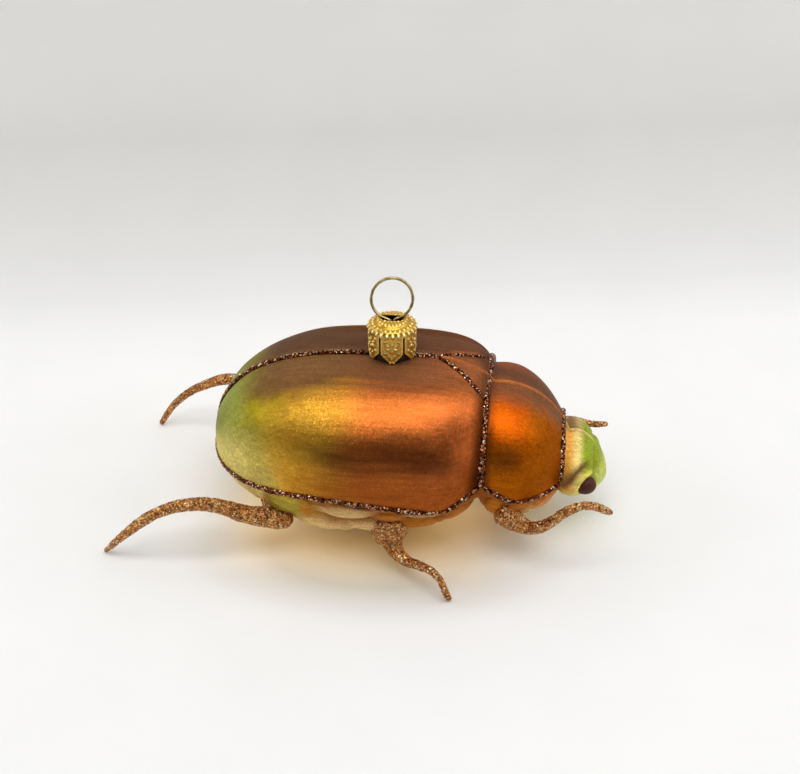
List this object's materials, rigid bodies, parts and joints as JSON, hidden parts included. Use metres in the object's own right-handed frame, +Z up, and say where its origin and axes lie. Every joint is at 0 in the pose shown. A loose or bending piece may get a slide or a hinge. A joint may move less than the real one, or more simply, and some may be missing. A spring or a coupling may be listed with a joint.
{
  "type": "blown-glass beetle hanging ornament",
  "caption": "Hollow painted glass beetle with wing cases, collar, head and glittered wire legs; an embossed metal cap and wire ring on its back hang it from a hook or thread.",
  "frame": {"origin": "on the floor that the feet stand on, under the middle of the whole ornament", "axes": "+X from the tail to the head, +Y to the beetle's left side, +Z up"},
  "size_m": [0.1207, 0.0714, 0.0622],
  "materials": {
    "painted_glass": "satin metallic lacquer, green at the tail and face, orange and brown on the back",
    "gold_foil": "bright embossed gold",
    "brass_wire": "dull drawn wire",
    "copper_glitter": "coarse copper glitter in clear paste",
    "dark_glitter": "fine dark brown glitter in clear glue"
  },
  "bodies": {
    "root": {"glass_body": "painted_glass", "cap": "gold_foil", "hanger_ring": "brass_wire", "leg_front_left": "copper_glitter", "leg_front_right": "copper_glitter", "leg_middle_left": "copper_glitter", "leg_middle_right": "copper_glitter", "leg_rear_left": "copper_glitter", "leg_rear_right": "copper_glitter", "back_seam_glitter_rear": "dark_glitter", "back_seam_glitter_front": "dark_glitter", "shield_glitter_left": "dark_glitter", "shield_glitter_right": "dark_glitter", "waist_glitter": "dark_glitter", "neck_glitter": "dark_glitter", "wing_edge_glitter_left": "dark_glitter", "wing_edge_glitter_right": "dark_glitter", "collar_edge_glitter_left": "dark_glitter", "collar_edge_glitter_right": "dark_glitter"}
  },
  "joints": []
}
